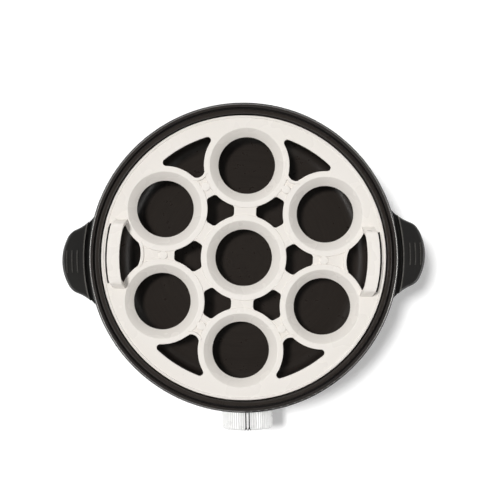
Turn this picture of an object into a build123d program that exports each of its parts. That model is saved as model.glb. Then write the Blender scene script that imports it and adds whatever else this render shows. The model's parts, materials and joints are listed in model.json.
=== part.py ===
from build123d import *
import os
from math import asin, atan2, cos, degrees, radians, sin, sqrt

# A seven-egg cooker with its tray in place, in millimetres.
# The origin is on the body's axis, at the surface that the cooker stands on.
# +Z is up, the knob faces -Y and the side handles point along X.

os.makedirs("parts", exist_ok=True)

# Clearances
fit_gap = 0.2  # between fixed pieces that slot together
running_gap = 0.05  # shaft in its bush and knob on its shaft
tray_gap = 0.7  # tray edge to the wall of its well
skirt_gap = 0.8  # tray skirt to the bowl's lower wall

# Egg tray
egg_spacing = 46.0  # between neighbouring egg centres
seat_gap = 3.6  # between the lands of neighbouring seats
seat_land_width = 2.8  # flat land around each seat's mouth
seat_slope_width = 4.4  # seat mouth to seat hole, seen from above
seat_depth = 6.0
seat_wall = 1.5
tray_edge_margin = 3.3  # outer seat lands to the tray's edge
tray_thickness = 2.0
tray_band_width = 8.0  # closed band around the edge
tray_bead_width = 1.2
tray_bead_rise = 0.7
tray_skirt_wall = 1.5
tray_skirt_depth = 4.0
web_width = 11.0  # bridges between neighbouring seats
web_recess = 0.9
handle_web_extra = 5.6  # the two bridges beside the tray handles reach further out
lip_width = 1.5  # raised lip at the outer end of each bridge
lip_rise = 0.8
lip_curve_radius = 4.0  # the bridges' outer ends are hollow
handle_lip_curve_radius = 14.0
opening_corner_radius = 1.7
tray_turn = -3.2  # the loose tray lies turned by this many degrees

# Tray handles
strip_inset = 4.1  # from the tray's edge to the outer face of the handle strip
strip_width = 6.0
strip_height = 14.0  # above the tray
strip_thickness = 2.2
strip_foot_half_length = 17.2
strip_top_half_length = 14.4
strip_corner_radius = 3.0
hand_opening_edge = 1.9  # tray edge left outside the opening under the strip
hand_opening_land = 0.2  # opening to the inner faces of the strip's legs

# Heating bowl
bowl_wall = 1.2
bowl_floor = 1.6
tray_drop = 4.2  # flange top to tray ledge
ledge_width = 5.0
bowl_wall_draft = 4.0  # lower wall leans in by this much
bowl_corner_radius = 8.0
flange_overlap = 0.8
seal_thickness = 0.5
stud_radius = 2.0
stud_inset = 10.2  # from the edge of the bowl's floor
stud_count = 3

# Rim ring
rim_spigot_wall = 1.8
rim_spigot_depth = 7.0
rim_seat_height = 2.0  # steel shoulder to seal seat
rim_crest_width = 1.4
rim_crest_height = 2.0  # groove depth outside the bowl's flange
lid_groove_width = 1.0
rim_edge_radius = 0.5

# Steel shell
shell_height = 63.5
shell_wall = 0.8
shell_inset = 3.0  # bottom edge inside the top edge
shoulder_radius = 1.6
shoulder_show = 1.4  # steel that shows outside the rim ring

# Base
foot_height = 4.0
foot_radius = 7.5
foot_inset = 1.0  # bottom edge inside the top edge
foot_stem_radius = 3.0
foot_head_rise = 0.8
foot_head_height = 1.6
foot_edge_margin = 8.7  # foot to the shell's bottom edge
foot_names = ("foot_rear_right", "foot_rear_left", "foot_front_left", "foot_front_right")
base_floor = 2.5
base_wall = 2.2
base_spigot_height = 3.0
skirt_height = 10.0
skirt_overhang = 0.5
skirt_chamfer = 2.0
vent_count = 9
vent_length = 14.0
vent_width = 2.4
vent_gap = 1.5  # vents to the ring of feet
vent_start_angle = 190.0
vent_sweep = 160.0

# Chassis and its fasteners
chassis_drop = 14.0  # bowl underside to chassis top
chassis_thickness = 1.2
chassis_inset = 3.5  # inside the heating element
chassis_arm_width = 14.0
sleeve_radius = 4.0
nut_flats = 7.0
nut_height = 3.2
tower_count = 3
tower_inset = 8.0  # from the chassis edge
tower_radius = 5.6
screw_radius = 2.0
screw_head_radius = 3.6
screw_head_height = 2.4
screw_recess = 10.0  # base underside to the seats of the screw heads
screw_slot_width = 1.0

# Heating element
element_clearance = 1.5  # to the spacer sleeves
element_width = 7.0
element_height = 6.0
element_corner_radius = 2.6
element_gap_angle = 60.0
element_gap_half_angle = 22.0
element_pin_radius = 2.4
element_pin_length = 6.5
element_tab_length = 9.0

# Thermostat, fuse and their clips
thermostat_radius = 8.0
thermostat_flange_radius = 9.5
thermostat_flange_height = 2.0
thermostat_height = 10.0
blade_width = 4.8
blade_thickness = 0.8
blade_length = 7.0
blade_offset = 4.0
blade_rise = 2.6  # above the thermostat's underside
clip_thickness = 0.8
clip_width = 10.0
clip_length = 20.0
fuse_radius = 2.0
fuse_length = 12.0
fuse_gap = 4.0  # thermostat to the fuse's strap
fuse_clip_width = 6.0
fuse_clip_reach = 3.5

# Control, knob and dial
knob_radius = 13.2
knob_depth = 10.5
knob_edge_radius = 1.4
knob_cavity_radius = 10.4
knob_cavity_depth = 3.0
knob_front_wall = 1.8  # in front of the shaft's end
knob_clearance = 0.8  # dial face to the knob's back
flute_count = 64
flute_radius = 0.34
flute_land_half_angle = 9.0  # smooth land on top for the pointer lines
pointer_spacing = 1.7
pointer_width = 0.6
pointer_depth = 0.6
pointer_reach = 6.0
shaft_radius = 3.0
shaft_flat = 1.0
shaft_bearing = 12.0  # shaft inside the control's body
shaft_end_gap = 0.3
bush_radius = 5.0
control_shoulder_radius = 8.0
control_width = 26.0
control_height = 24.0
control_clearance = 3.4  # to the bowl's underside
control_gap = 3.8  # to the heating element
control_setback = 4.2  # shell's inner wall to the control's face
control_corner_radius = 2.0
control_nut_flats = 13.0
control_nut_height = 2.2
dial_margin = 1.1  # lens to the dial's edge
dial_thickness = 2.6
dial_edge_radius = 0.8
lens_gap = 1.4  # knob to lens
lens_clearance = 1.6  # to the base's spigot
lens_radius = 2.4
lens_dome = 1.0
lens_depth = 9.0
lens_wall = 0.6
lens_front = 2.0
lamp_length = 11.0
lamp_end_radius = 0.8

# Side handles
side_handle_reach = 13.8  # beyond the shell
side_handle_half_width = 15.2  # at the corners of the rounded tip
side_handle_bow = 5.1  # how far the rounded tip stands out from its corners
side_handle_corner_radius = 8.0
side_handle_root_half_width = 24.0
side_handle_root_edge = 1.0  # thickness where the flanks end on the shell
side_handle_flank_bow = 1.4  # how far the flanks are hollowed
side_handle_drop = 6.5  # below the steel shoulder
side_handle_height = 15.0
side_handle_edge_radius = 1.4
scoop_radius = 5.5
scoop_depth = 2.2
scoop_offset = 6.0  # middle of the scoop, beyond the shell
scoop_half_length = 9.0
side_handle_step_width = 2.6
side_handle_step_depth = 4.5
grip_rib_count = 3
grip_rib_spacing = 2.6
grip_rib_width = 0.6
grip_rib_rise = 0.4
grip_rib_half_angle = 3.6
grip_rib_inset = 2.1
handle_screw_half_angle = 7.0
handle_screw_radius = 1.75
handle_screw_head_radius = 3.4
handle_screw_head_height = 2.0
handle_screw_length = 9.0
screw_head_gap = 0.25  # flat heads inside the curved wall

# Cord gland and terminal block
gland_clearance = 2.5  # gland nut to the base's spigot
gland_bore_radius = 3.6
gland_body_radius = 6.0
gland_flange_radius = 8.5
gland_flange_thickness = 2.4
gland_length = 14.0
gland_nut_thickness = 3.0
gland_nut_radius = 8.5
gland_edge_radius = 1.0
block_width = 30.0
block_length = 12.0
block_height = 11.0
block_y = 44.0
pole_spacing = 10.0
pole_count = 3
pole_screw_radius = 1.6
pole_screw_height = 3.0
pole_well_radius = 2.4
pole_well_depth = 5.0
pole_setback = 2.5  # leads enter on top, behind the clamp screws

# Internal leads
lead_radius = 1.1
lead_bend = 3.0
lead_rise = 8.0  # straight run up from the terminal block
lead_run = 10.0  # straight runs off the other terminals
lead_short_run = 7.0
lead_offset = 6.0  # control terminals above and below the knob's axis
earth_x = -6.0
earth_inset = 4.0  # from the chassis edge


# Levels, from the ground up
base_z = foot_height
base_floor_z = base_z + base_floor
skirt_top_z = base_z + skirt_height
shell_top_z = skirt_top_z + shell_height
groove_z = shell_top_z + rim_seat_height
bowl_seat_z = groove_z + seal_thickness
bowl_top_z = bowl_seat_z + bowl_wall
rim_top_z = groove_z + rim_crest_height
ledge_z = bowl_top_z - tray_drop
spigot_top_z = skirt_top_z + base_spigot_height
gland_z = spigot_top_z + gland_clearance + gland_nut_radius
lamp_z = spigot_top_z + lens_clearance + lens_radius
lamp_drop = knob_radius + lens_gap + lens_radius
knob_z = lamp_z + lamp_drop
bowl_underside_z = knob_z + control_height / 2 + control_clearance
bowl_floor_z = bowl_underside_z + bowl_floor
chassis_top_z = bowl_underside_z - chassis_drop
chassis_z = chassis_top_z - chassis_thickness

# Radii, from the tray outwards
seat_disc_radius = (egg_spacing - seat_gap) / 2
seat_mouth_radius = seat_disc_radius - seat_land_width
seat_hole_radius = seat_mouth_radius - seat_slope_width
tray_radius = egg_spacing + seat_disc_radius + tray_edge_margin
tray_band_radius = tray_radius - tray_band_width
well_radius = tray_radius + tray_gap
ledge_radius = well_radius - ledge_width
rim_inner_radius = well_radius + bowl_wall + fit_gap
flange_radius = rim_inner_radius + flange_overlap
groove_radius = flange_radius + lid_groove_width
rim_radius = groove_radius + rim_crest_width
shell_top_radius = rim_radius + shoulder_show
shell_bottom_radius = shell_top_radius - shell_inset
rim_spigot_radius = rim_inner_radius + rim_spigot_wall
base_spigot_radius = shell_bottom_radius - shell_wall - fit_gap
foot_circle_radius = shell_bottom_radius - foot_edge_margin - foot_radius
vent_circle_radius = foot_circle_radius - foot_radius - vent_gap - vent_length / 2
side_handle_tip = shell_top_radius + side_handle_reach

# Radii, from the bowl's floor inwards
bowl_floor_radius = ledge_radius - bowl_wall_draft
stud_circle_radius = bowl_floor_radius - stud_inset
element_circle_radius = stud_circle_radius - sleeve_radius - element_clearance - element_width / 2
chassis_radius = element_circle_radius - element_width / 2 - chassis_inset
tower_circle_radius = chassis_radius - tower_inset
earth_y = chassis_radius - earth_inset


def shell_radius(z):
    """Outer radius of the tapered shell at height z."""
    return shell_bottom_radius + shell_inset * (z - skirt_top_z) / shell_height


def radial_plane(angle, z, distance=0.0):
    """Plane that faces outwards at an angle about the body's axis, with its local y upwards."""
    outwards = (cos(radians(angle)), sin(radians(angle)), 0)
    sideways = (-sin(radians(angle)), cos(radians(angle)), 0)
    origin = (outwards[0] * distance, outwards[1] * distance, z)
    return Plane(origin=origin, x_dir=sideways, z_dir=outwards)


def outline(*points):
    """Closed face through points, on the XY plane."""
    with BuildSketch(Plane.XY) as face:
        with BuildLine():
            Polyline(*points, close=True)
        make_face()
    return face.sketch_local


def sector(inner_radius, outer_radius, middle, half_angle):
    """Piece of a ring about the origin, on the XY plane."""
    with BuildSketch(Plane.XY) as face:
        with BuildLine():
            outer = CenterArc((0, 0), outer_radius, middle - half_angle, 2 * half_angle)
            inner = CenterArc((0, 0), inner_radius, middle - half_angle, 2 * half_angle)
            Line(outer @ 0, inner @ 0)
            Line(outer @ 1, inner @ 1)
        make_face()
    return face.sketch_local


def shell_cone(inset=0.0):
    """Solid that the shell encloses, less an inset from its outer surface."""
    with BuildPart(Plane.XY.offset(skirt_top_z)) as cone:
        Cone(
            bottom_radius=shell_bottom_radius - inset,
            top_radius=shell_top_radius - inset,
            height=shell_height,
            align=(Align.CENTER, Align.CENTER, Align.MIN),
        )
    return cone.part


def seat_cone(wall, mode):
    """Funnel of an egg seat, hanging from the current locations."""
    Cone(
        bottom_radius=seat_hole_radius + wall,
        top_radius=seat_mouth_radius + wall,
        height=seat_depth,
        align=(Align.CENTER, Align.CENTER, Align.MAX),
        mode=mode,
    )


def bridge(angle, end_radius, curve_radius):
    """Plan of a bridge between two outer seats, with its outer end hollowed."""
    with BuildSketch(Plane.XY) as face:
        with Locations((web_inner_radius, 0)):
            bridge_length = end_radius + lip_width - web_inner_radius
            Rectangle(bridge_length, egg_spacing / 2, align=(Align.MIN, Align.CENTER))
        with Locations((end_radius + curve_radius, 0)):
            Circle(curve_radius, mode=Mode.SUBTRACT)
    return Rot(0, 0, angle) * face.sketch_local


def bridge_lip(angle, end_radius, curve_radius):
    """Plan of the raised lip along a bridge's hollow end, reaching onto both seats' lands."""
    seat_offset = end_radius - web_circle_radius
    half_gap = egg_spacing / 2 - sqrt(seat_disc_radius**2 - seat_offset**2)
    half_angle = degrees(asin((half_gap + lip_width) / (curve_radius + lip_width)))
    lip = sector(curve_radius, curve_radius + lip_width, 180, half_angle)
    return Rot(0, 0, angle) * Pos(end_radius + curve_radius, 0) * lip


def from_axis(vertex):
    """Distance of a sketch's corner from its origin."""
    return sqrt(vertex.X**2 + vertex.Y**2)


def band_corners(plan):
    """Corners of a tray plan where seat lands run into the edge band, away from the hand openings."""
    corners = plan.vertices().filter_by(lambda v: abs(v.Y) > egg_spacing / 2)
    return corners.filter_by(lambda v: abs(from_axis(v) - tray_band_radius) < fit_gap)


def save(piece, name):
    """Label a finished piece and write it under its name."""
    piece.label = name
    export_step(piece, f"parts/{name}.step")


front_angle = -90.0
rear_angle = 90.0
outer_wall = shell_cone()
inner_wall = shell_cone(shell_wall)
handle_screw_z = shell_top_z - side_handle_drop - side_handle_height / 2
handle_screw_angles = [
    side + offset for side in (0, 180) for offset in (-handle_screw_half_angle, handle_screw_half_angle)
]
dial_face_radius = shell_radius(knob_z) + dial_thickness
knob_back_radius = dial_face_radius + knob_clearance
shaft_engagement = knob_depth - knob_cavity_depth - knob_front_wall
control_face_radius = shell_radius(knob_z) - shell_wall - control_setback
control_back_radius = element_circle_radius + element_width / 2 + control_gap

# Base cover: floor, skirt that carries the shell, screw towers and vents
with BuildPart() as base_cover:
    with BuildSketch(Plane.XZ):
        add(
            outline(
                (0, base_z),
                (shell_bottom_radius + skirt_overhang - skirt_chamfer, base_z),
                (shell_bottom_radius + skirt_overhang, base_z + skirt_chamfer),
                (shell_bottom_radius + skirt_overhang, skirt_top_z),
                (base_spigot_radius, skirt_top_z),
                (base_spigot_radius, spigot_top_z),
                (base_spigot_radius - base_wall, spigot_top_z),
                (base_spigot_radius - base_wall, base_floor_z),
                (0, base_floor_z),
            )
        )
    revolve(axis=Axis.Z)
    with BuildSketch(Plane.XY.offset(base_floor_z)):
        with PolarLocations(tower_circle_radius, tower_count):
            Circle(tower_radius)
    extrude(amount=chassis_z - base_floor_z)
    with BuildSketch(Plane.XY.offset(base_z)):
        with PolarLocations(tower_circle_radius, tower_count):
            Circle(screw_head_radius + fit_gap)
    extrude(amount=screw_recess, mode=Mode.SUBTRACT)
    with BuildSketch(Plane.XY.offset(base_z)):
        with PolarLocations(tower_circle_radius, tower_count):
            Circle(screw_radius + fit_gap)
        with PolarLocations(foot_circle_radius, len(foot_names), start_angle=45):
            Circle(foot_stem_radius + fit_gap)
        with PolarLocations(vent_circle_radius, vent_count, vent_start_angle, vent_sweep, endpoint=True):
            SlotOverall(vent_length, vent_width)
    extrude(amount=chassis_z - base_z, mode=Mode.SUBTRACT)
save(base_cover.part, "base_cover")

# Feet: pad below the base, stem through it and a head that keeps the foot in place
for number, foot_name in enumerate(foot_names):
    foot_angle = radians(45 + 360 / len(foot_names) * number)
    foot_plane = Plane((foot_circle_radius * cos(foot_angle), foot_circle_radius * sin(foot_angle), 0))
    with BuildPart() as foot:
        with BuildSketch(foot_plane):
            Circle(foot_radius - foot_inset)
        with BuildSketch(foot_plane.offset(foot_height)):
            Circle(foot_radius)
        loft()
        with BuildSketch(foot_plane.offset(foot_height)):
            Circle(foot_stem_radius)
        extrude(amount=base_floor)
        with BuildSketch(foot_plane.offset(base_floor_z)):
            Circle(foot_stem_radius + foot_head_rise)
        extrude(amount=foot_head_height, taper=20)
    save(foot.part, foot_name)

# Body shell: tapered wall with a rounded shoulder and a narrow flange for the rim ring
with BuildPart() as body_shell:
    with BuildSketch(Plane.XZ) as shell_section:
        add(
            outline(
                (shell_bottom_radius, skirt_top_z),
                (shell_top_radius, shell_top_z),
                (rim_spigot_radius + fit_gap, shell_top_z),
                (rim_spigot_radius + fit_gap, shell_top_z - shell_wall),
                (shell_radius(shell_top_z - shell_wall) - shell_wall, shell_top_z - shell_wall),
                (shell_bottom_radius - shell_wall, skirt_top_z),
            )
        )
        fillet(shell_section.vertices().sort_by_distance((shell_top_radius, shell_top_z))[0], shoulder_radius)
        inner_corner = (shell_radius(shell_top_z - shell_wall) - shell_wall, shell_top_z - shell_wall)
        fillet(shell_section.vertices().sort_by_distance(inner_corner)[0], shoulder_radius - shell_wall)
    revolve(axis=Axis.Z)
    with BuildSketch(radial_plane(front_angle, knob_z)):
        Circle(bush_radius + fit_gap)
        with Locations((0, -lamp_drop)):
            Circle(lens_radius + fit_gap)
    extrude(amount=shell_top_radius, mode=Mode.SUBTRACT)
    with BuildSketch(radial_plane(rear_angle, gland_z)):
        Circle(gland_body_radius + fit_gap)
    extrude(amount=shell_top_radius, mode=Mode.SUBTRACT)
    for screw_angle in handle_screw_angles:
        with BuildSketch(radial_plane(screw_angle, handle_screw_z)):
            Circle(handle_screw_radius + fit_gap)
        extrude(amount=shell_top_radius, mode=Mode.SUBTRACT)
save(body_shell.part, "body_shell")

# Rim ring: seat for the bowl, groove for a lid and spigot inside the shell
with BuildPart() as rim_ring:
    with BuildSketch(Plane.XZ) as rim_section:
        add(
            outline(
                (rim_inner_radius, shell_top_z - rim_spigot_depth),
                (rim_spigot_radius, shell_top_z - rim_spigot_depth),
                (rim_spigot_radius, shell_top_z),
                (rim_radius, shell_top_z),
                (rim_radius, rim_top_z),
                (groove_radius, rim_top_z),
                (groove_radius, groove_z),
                (rim_inner_radius, groove_z),
            )
        )
        for crest_edge in ((rim_radius, rim_top_z), (groove_radius, rim_top_z)):
            fillet(rim_section.vertices().sort_by_distance(crest_edge)[0], rim_edge_radius)
    revolve(axis=Axis.Z)
save(rim_ring.part, "rim_ring")

# Seal between the rim ring and the bowl's flange, reaching out over the floor of the lid's groove
with BuildPart() as bowl_seal:
    with BuildSketch(Plane.XY.offset(groove_z)):
        Circle(groove_radius - fit_gap)
        Circle(rim_inner_radius, mode=Mode.SUBTRACT)
    extrude(amount=seal_thickness)
save(bowl_seal.part, "bowl_seal")

# Heating bowl: flange, tray ledge, leaning wall, floor and welded studs
with BuildPart() as heating_bowl:
    with BuildSketch(Plane.XZ) as bowl_section:
        add(
            outline(
                (0, bowl_floor_z),
                (bowl_floor_radius, bowl_floor_z),
                (ledge_radius, ledge_z),
                (well_radius, ledge_z),
                (well_radius, bowl_top_z),
                (flange_radius, bowl_top_z),
                (flange_radius, bowl_seat_z),
                (well_radius + bowl_wall, bowl_seat_z),
                (well_radius + bowl_wall, ledge_z - bowl_wall),
                (ledge_radius + bowl_wall, ledge_z - bowl_wall),
                (bowl_floor_radius + bowl_wall, bowl_underside_z),
                (0, bowl_underside_z),
            )
        )
        floor_corner = bowl_section.vertices().sort_by_distance((bowl_floor_radius, bowl_floor_z))[0]
        fillet(floor_corner, bowl_corner_radius)
        under_corner = (bowl_floor_radius + bowl_wall, bowl_underside_z)
        fillet(bowl_section.vertices().sort_by_distance(under_corner)[0], bowl_corner_radius + bowl_wall)
        flange_edge = bowl_section.vertices().sort_by_distance((flange_radius, bowl_top_z))[0]
        fillet(flange_edge, bowl_wall / 2)
        flange_inner_edge = bowl_section.vertices().sort_by_distance((well_radius, bowl_top_z))[0]
        fillet(flange_inner_edge, bowl_wall / 2)
    revolve(axis=Axis.Z)
    with BuildSketch(Plane.XY.offset(bowl_underside_z)):
        with PolarLocations(stud_circle_radius, stud_count):
            Circle(stud_radius)
    extrude(amount=-(chassis_drop + chassis_thickness + nut_height))
save(heating_bowl.part, "heating_bowl")

# Handle strips of the tray: an arch cut from a ring about the tray's axis
tray_plane = Plane(
    origin=(0, 0, ledge_z), x_dir=(cos(radians(tray_turn)), sin(radians(tray_turn)), 0), z_dir=(0, 0, 1)
)
strip_outer_radius = tray_radius - strip_inset
strip_inner_radius = strip_outer_radius - strip_width
strip_top = tray_thickness + strip_height
with BuildPart() as tray_strips:
    with BuildSketch(Plane.YZ) as arch:
        add(
            outline(
                (-strip_foot_half_length, 0),
                (strip_foot_half_length, 0),
                (strip_foot_half_length, tray_thickness),
                (strip_top_half_length, strip_top),
                (-strip_top_half_length, strip_top),
                (-strip_foot_half_length, tray_thickness),
            )
        )
        fillet(arch.vertices().group_by(Axis.Y)[-1], strip_corner_radius)
        add(
            outline(
                (-strip_foot_half_length + strip_thickness, 0),
                (strip_foot_half_length - strip_thickness, 0),
                (strip_foot_half_length - strip_thickness, tray_thickness),
                (strip_top_half_length - strip_thickness, strip_top - strip_thickness),
                (-strip_top_half_length + strip_thickness, strip_top - strip_thickness),
                (-strip_foot_half_length + strip_thickness, tray_thickness),
            ),
            mode=Mode.SUBTRACT,
        )
    extrude(amount=tray_radius, both=True)
    with BuildSketch(Plane.XY):
        Circle(strip_outer_radius)
        Circle(strip_inner_radius, mode=Mode.SUBTRACT)
    extrude(amount=strip_top, mode=Mode.INTERSECT)

# Egg tray: band and seat lands, lower bridges with lips, seat funnels, edge bead, skirt and handle strips
web_circle_radius = egg_spacing * cos(radians(30))
web_inner_radius = web_circle_radius - web_width / 2
web_end_radius = web_circle_radius + web_width / 2
handle_web_end_radius = web_end_radius + handle_web_extra
bridges = [(angle, web_end_radius, lip_curve_radius) for angle in (60, 120, 240, 300)]
bridges += [(angle, handle_web_end_radius, handle_lip_curve_radius) for angle in (0, 180)]
skirt_radius = ledge_radius - skirt_gap
hand_opening_half_length = strip_foot_half_length - strip_thickness - hand_opening_land
hand_half_angle = degrees(atan2(hand_opening_half_length, strip_outer_radius))
hand_inner_radius = tray_band_radius - tray_bead_width
hand_outer_radius = tray_radius - hand_opening_edge
hand_openings = [sector(hand_inner_radius, hand_outer_radius, side, hand_half_angle) for side in (0, 180)]
with BuildPart(tray_plane) as egg_tray:
    with BuildSketch(tray_plane) as tray_plan:
        Circle(tray_radius)
        Circle(tray_band_radius, mode=Mode.SUBTRACT)
        Circle(seat_disc_radius)
        with PolarLocations(egg_spacing, 6, start_angle=30):
            Circle(seat_disc_radius)
        with PolarLocations(egg_spacing / 2, 6, start_angle=30):
            Rectangle(egg_spacing, web_width)
        for angle, end_radius, curve_radius in bridges:
            add(bridge(angle, end_radius, curve_radius))
        add(hand_openings, mode=Mode.SUBTRACT)
        inner_corners = tray_plan.vertices().filter_by(lambda v: from_axis(v) < web_circle_radius)
        fillet(inner_corners + band_corners(tray_plan), opening_corner_radius)
    extrude(amount=tray_thickness - web_recess)
    with BuildSketch(tray_plane.offset(tray_thickness - web_recess)) as land_plan:
        Circle(tray_radius)
        Circle(tray_band_radius, mode=Mode.SUBTRACT)
        Circle(seat_disc_radius)
        with PolarLocations(egg_spacing, 6, start_angle=30):
            Circle(seat_disc_radius)
        add(hand_openings, mode=Mode.SUBTRACT)
        fillet(band_corners(land_plan), opening_corner_radius)
    extrude(amount=web_recess)
    with BuildSketch(tray_plane):
        for angle, end_radius, curve_radius in bridges:
            add(bridge_lip(angle, end_radius, curve_radius))
    extrude(amount=tray_thickness + lip_rise)
    with BuildSketch(tray_plane.offset(tray_thickness)):
        Circle(tray_radius)
        Circle(tray_radius - tray_bead_width, mode=Mode.SUBTRACT)
    extrude(amount=tray_bead_rise)
    with BuildSketch(tray_plane):
        Circle(skirt_radius)
        Circle(skirt_radius - tray_skirt_wall, mode=Mode.SUBTRACT)
        add(hand_openings, mode=Mode.SUBTRACT)
    extrude(amount=-tray_skirt_depth)
    with Locations((0, 0, tray_thickness)):
        seat_cone(seat_wall, Mode.ADD)
        with PolarLocations(egg_spacing, 6, start_angle=30):
            seat_cone(seat_wall, Mode.ADD)
        seat_cone(0, Mode.SUBTRACT)
        with PolarLocations(egg_spacing, 6, start_angle=30):
            seat_cone(0, Mode.SUBTRACT)
    add(tray_strips.part)
save(egg_tray.part, "egg_tray")

# Spacer sleeves on the bowl's studs
with BuildPart() as spacer_sleeves:
    with BuildSketch(Plane.XY.offset(chassis_top_z)):
        with PolarLocations(stud_circle_radius, stud_count):
            Circle(sleeve_radius)
            Circle(stud_radius + fit_gap, mode=Mode.SUBTRACT)
    extrude(amount=chassis_drop)
save(spacer_sleeves.part, "spacer_sleeves")

# Chassis plate: disc with an arm to each stud
with BuildPart() as chassis_plate:
    with BuildSketch(Plane.XY.offset(chassis_z)):
        Circle(chassis_radius)
        with PolarLocations(stud_circle_radius / 2, stud_count):
            Rectangle(stud_circle_radius, chassis_arm_width)
        with PolarLocations(stud_circle_radius, stud_count):
            Circle(chassis_arm_width / 2)
            Circle(stud_radius + fit_gap, mode=Mode.SUBTRACT)
        with PolarLocations(tower_circle_radius, tower_count):
            Circle(screw_radius + fit_gap, mode=Mode.SUBTRACT)
    extrude(amount=chassis_thickness)
save(chassis_plate.part, "chassis_plate")

# Nuts under the chassis that hold it to the bowl's studs
with BuildPart() as stud_nuts:
    with BuildSketch(Plane.XY.offset(chassis_z)):
        with PolarLocations(stud_circle_radius, stud_count):
            RegularPolygon(nut_flats / 2, 6, major_radius=False)
            Circle(stud_radius + running_gap, mode=Mode.SUBTRACT)
    extrude(amount=-nut_height)
save(stud_nuts.part, "stud_nuts")

# Nuts on the chassis that take the base screws
with BuildPart() as chassis_nuts:
    with BuildSketch(Plane.XY.offset(chassis_top_z)):
        with PolarLocations(tower_circle_radius, tower_count):
            RegularPolygon(nut_flats / 2, 6, major_radius=False)
            Circle(screw_radius + running_gap, mode=Mode.SUBTRACT)
    extrude(amount=nut_height)
save(chassis_nuts.part, "chassis_nuts")

# Base screws: heads up inside the towers, shanks through the chassis nuts
screw_head_z = base_z + screw_recess - screw_head_height
with BuildPart() as base_screws:
    with BuildSketch(Plane.XY.offset(screw_head_z)):
        with PolarLocations(tower_circle_radius, tower_count):
            Circle(screw_head_radius)
    extrude(amount=screw_head_height)
    with BuildSketch(Plane.XY.offset(screw_head_z)):
        with PolarLocations(tower_circle_radius, tower_count):
            Circle(screw_radius)
    extrude(amount=chassis_top_z + nut_height - screw_head_z)
    with BuildSketch(Plane.XY.offset(screw_head_z)):
        with PolarLocations(tower_circle_radius, tower_count):
            Rectangle(2 * screw_radius, screw_slot_width)
            Rectangle(screw_slot_width, 2 * screw_radius)
    extrude(amount=screw_head_height / 2, mode=Mode.SUBTRACT)
save(base_screws.part, "base_screws")

# Heating element: flat-topped ring under the bowl, open towards the terminal block, with two pins
element_ends = (element_gap_angle - element_gap_half_angle, element_gap_angle + element_gap_half_angle)
element_bottom_z = bowl_underside_z - element_height
tab_centre_z = element_bottom_z - element_pin_length / 2
with BuildPart() as heating_element:
    with BuildLine() as element_path:
        element_sweep = 360 - 2 * element_gap_half_angle
        CenterArc((0, 0, bowl_underside_z), element_circle_radius, element_ends[1], element_sweep)
    element_start = Plane(element_path.line @ 0, x_dir=(0, 0, 1), z_dir=element_path.line % 0)
    with BuildSketch(element_start) as element_section:
        with Locations((-element_height / 2, 0)):
            Rectangle(element_height, element_width)
        fillet(element_section.vertices().group_by(Axis.X)[0], element_corner_radius)
    sweep()
    for end_angle in element_ends:
        with BuildSketch(Plane.XY.offset(element_bottom_z + element_height / 2)):
            with PolarLocations(element_circle_radius, 1, start_angle=end_angle):
                Circle(element_pin_radius)
        extrude(amount=-(element_pin_length + element_height / 2))
        with BuildSketch(radial_plane(end_angle, tab_centre_z, element_circle_radius - element_tab_length)):
            Rectangle(blade_thickness, blade_width)
        extrude(amount=element_tab_length)
save(heating_element.part, "heating_element")

# Thermostat under the middle of the bowl, with two blades towards the front
thermostat_bottom_z = bowl_underside_z - thermostat_height
blade_z = thermostat_bottom_z + blade_rise
with BuildPart() as thermostat:
    with BuildSketch(Plane.XY.offset(bowl_underside_z)):
        Circle(thermostat_flange_radius)
    extrude(amount=-thermostat_flange_height)
    with BuildSketch(Plane.XY.offset(thermostat_bottom_z)):
        Circle(thermostat_radius)
    extrude(amount=thermostat_height)
    with BuildSketch(radial_plane(front_angle, blade_z)):
        with Locations((-blade_offset, 0), (blade_offset, 0)):
            Rectangle(blade_width, blade_thickness)
    extrude(amount=thermostat_radius + blade_length)
save(thermostat.part, "thermostat")

# Clip between the chassis and the thermostat
clip_height = thermostat_bottom_z - chassis_top_z
with BuildPart() as thermostat_clip:
    with BuildSketch(Plane.XZ.offset(-clip_width / 2)):
        with Locations((0, chassis_top_z)):
            Rectangle(clip_length, clip_height, align=(Align.CENTER, Align.MIN))
            Rectangle(
                clip_length - 2 * clip_thickness,
                clip_height - clip_thickness,
                align=(Align.CENTER, Align.MIN),
                mode=Mode.SUBTRACT,
            )
    extrude(amount=clip_width)
save(thermostat_clip.part, "thermostat_clip")

# Thermal fuse beside the thermostat, and the strap that holds it to the bowl
strap_half_width = fuse_radius + fit_gap + clip_thickness + fuse_clip_reach
fuse_x = thermostat_flange_radius + fuse_gap + strap_half_width
fuse_z = bowl_underside_z - fit_gap - fuse_radius
channel_width = 2 * (fuse_radius + fit_gap)
strap_width = channel_width + 2 * clip_thickness
with BuildPart() as thermal_fuse:
    with BuildSketch(Plane.XZ.offset(-fuse_length / 2)):
        with Locations((fuse_x, fuse_z)):
            Circle(fuse_radius)
    extrude(amount=fuse_length)
save(thermal_fuse.part, "thermal_fuse")
with BuildPart() as fuse_clip:
    with BuildSketch(Plane.XZ.offset(-fuse_clip_width / 2)):
        with Locations((fuse_x, bowl_underside_z)):
            Rectangle(2 * strap_half_width, clip_thickness, align=(Align.CENTER, Align.MAX))
            Rectangle(strap_width, channel_width + clip_thickness, align=(Align.CENTER, Align.MAX))
            Rectangle(channel_width, channel_width, align=(Align.CENTER, Align.MAX), mode=Mode.SUBTRACT)
    extrude(amount=fuse_clip_width)
save(fuse_clip.part, "fuse_clip")

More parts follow.
